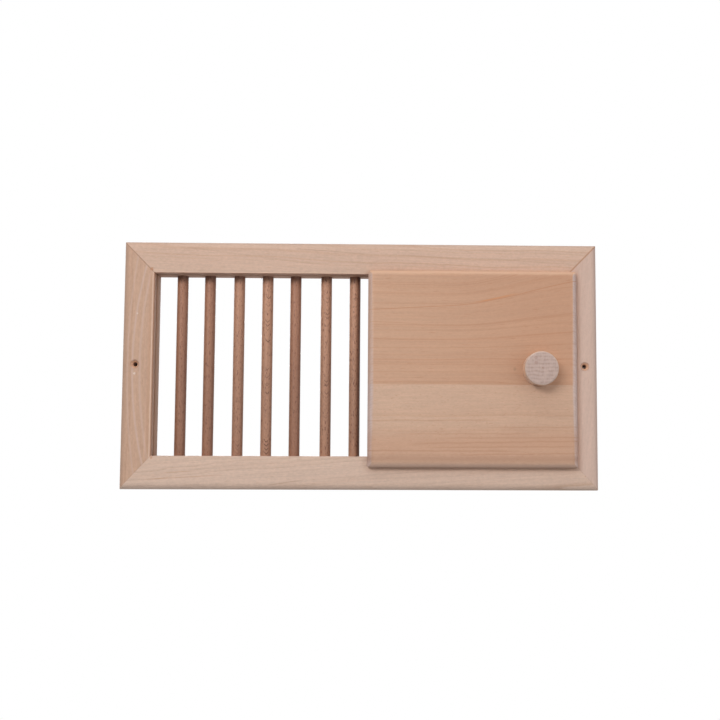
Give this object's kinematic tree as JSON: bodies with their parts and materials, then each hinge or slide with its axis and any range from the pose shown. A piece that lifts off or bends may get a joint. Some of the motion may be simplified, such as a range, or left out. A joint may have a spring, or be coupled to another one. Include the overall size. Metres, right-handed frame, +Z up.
{
  "type": "ventilation valve",
  "caption": "Wooden wall ventilation valve: a mitred frame holding upright round bars, with a sliding two-board shutter and a turned knob.",
  "frame": {"origin": "on the wall plane, midway between the two fixing screw holes", "axes": "+X to the right along the slide, +Y into the wall, +Z up; the front looks along -Y"},
  "size_m": [0.3416, 0.0406, 0.1774],
  "materials": {
    "rail_wood": "sanded, untreated, pale",
    "stile_wood": "sanded, untreated, pale",
    "dowel_wood": "turned, reddish",
    "upper_board_wood": "sanded, wavy grain",
    "lower_board_wood": "sanded, straight grain",
    "knob_wood": "turned end grain",
    "screw_steel": "zinc plated"
  },
  "bodies": {
    "frame": {"top_rail": "rail_wood", "bottom_rail": "rail_wood", "left_stile": "stile_wood", "right_stile": "stile_wood", "dowel_1": "dowel_wood", "dowel_2": "dowel_wood", "dowel_3": "dowel_wood", "dowel_4": "dowel_wood", "dowel_5": "dowel_wood", "dowel_6": "dowel_wood", "dowel_7": "dowel_wood", "dowel_8": "dowel_wood", "dowel_9": "dowel_wood", "dowel_10": "dowel_wood", "dowel_11": "dowel_wood", "dowel_12": "dowel_wood", "dowel_13": "dowel_wood"},
    "shutter": {"shutter_upper_board": "upper_board_wood", "shutter_lower_board": "lower_board_wood", "knob": "knob_wood", "knob_screw": "screw_steel"}
  },
  "joints": [
    {"name": "shutter_slide", "type": "slide", "parent": "frame", "child": "shutter", "axis": [1, 0, 0], "range_m": [-0.1611, 0.0016]}
  ]
}
